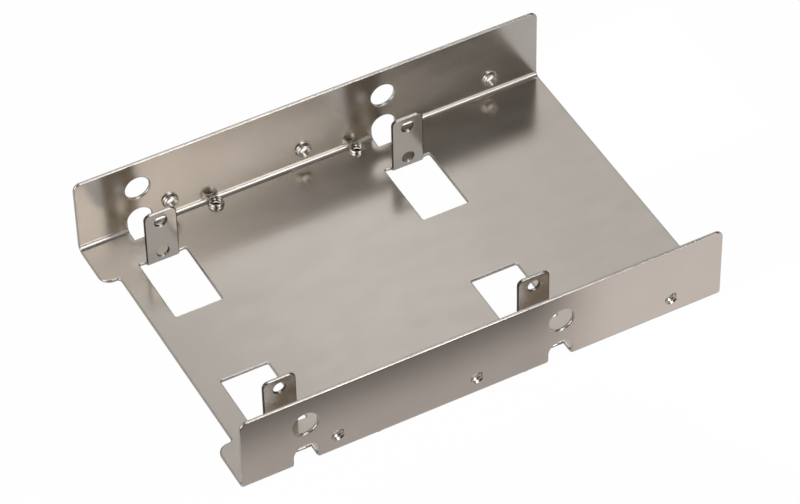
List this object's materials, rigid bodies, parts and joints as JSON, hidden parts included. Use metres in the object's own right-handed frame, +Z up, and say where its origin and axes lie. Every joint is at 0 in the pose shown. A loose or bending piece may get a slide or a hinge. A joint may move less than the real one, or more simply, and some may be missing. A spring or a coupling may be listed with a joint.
{
  "type": "drive bay adapter bracket",
  "caption": "Folded sheet-metal tray with upright tabs that holds small drives, one above the other, in a larger drive bay.",
  "frame": {"origin": "middle of the underside, where the tray rests", "axes": "+X along the tray, away from its set-back end; +Y across it; +Z up, the way the flanges stand"},
  "size_m": [0.1454, 0.1016, 0.025],
  "materials": {
    "plated_steel": "satin nickel plating, faintly mottled"
  },
  "bodies": {
    "root": {"folded_bracket": "plated_steel"}
  },
  "joints": []
}
